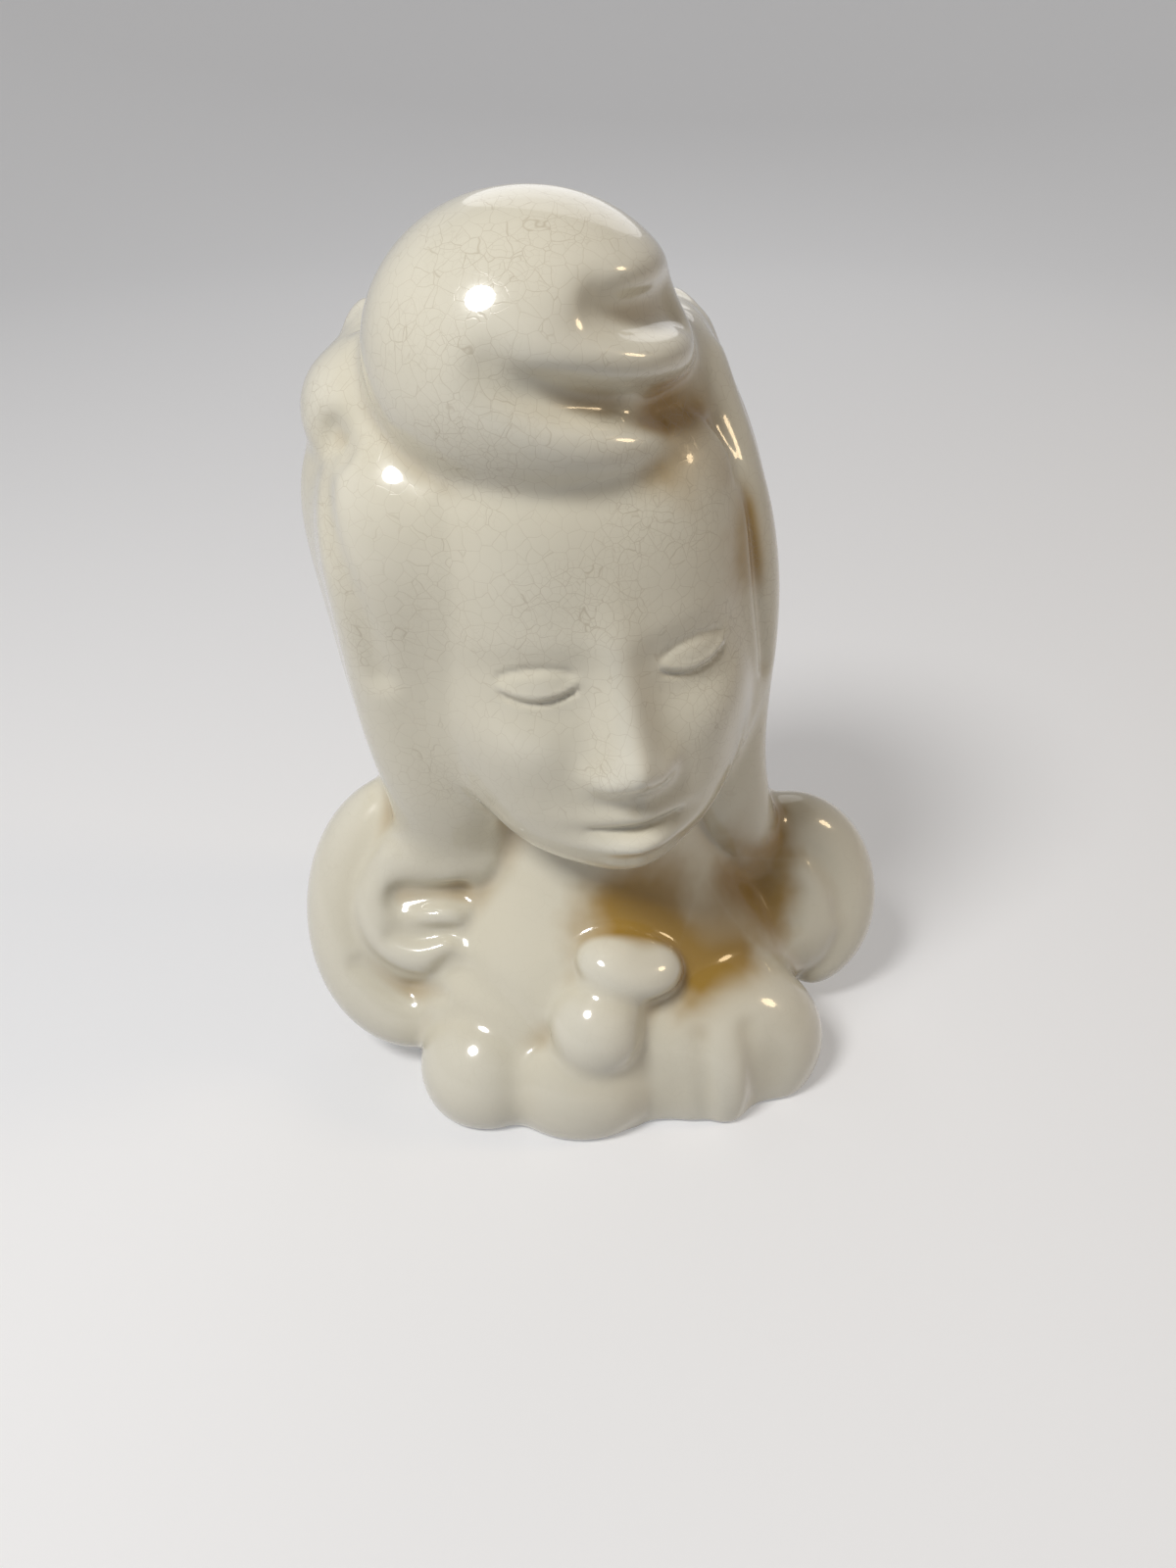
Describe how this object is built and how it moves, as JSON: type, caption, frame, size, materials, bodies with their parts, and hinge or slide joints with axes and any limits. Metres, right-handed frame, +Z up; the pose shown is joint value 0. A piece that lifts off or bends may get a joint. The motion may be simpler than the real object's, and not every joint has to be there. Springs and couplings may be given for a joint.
{
  "type": "face vase",
  "caption": "Free-standing glazed ceramic vase shaped as a woman's head and shoulders, with rolled hair, a knotted scarf and an open crown for flowers.",
  "frame": {"origin": "middle of the flat foot, on the table", "axes": "+Z up, the face looks along -Y, +X is to the right of someone facing the vase"},
  "size_m": [0.1214, 0.0931, 0.166],
  "materials": {
    "cream_glaze": "glossy cream glaze with a fine craze",
    "foot_clay": "bare fired clay"
  },
  "bodies": {
    "root": {"vessel_front": "cream_glaze", "vessel_back": "cream_glaze", "vessel_floor": "foot_clay", "face_mask": "cream_glaze", "pompadour_roll": "cream_glaze", "side_roll_left": "cream_glaze", "temple_wave_left": "cream_glaze", "crown_wave_right": "cream_glaze", "back_hair_fall": "cream_glaze", "shoulder_curl_left": "cream_glaze", "shoulder_curl_right": "cream_glaze", "scarf_knot": "cream_glaze", "scarf_upper_fold": "cream_glaze", "scarf_loop_left": "cream_glaze", "scarf_tail_front": "cream_glaze", "scarf_wing_right": "cream_glaze"}
  },
  "joints": []
}
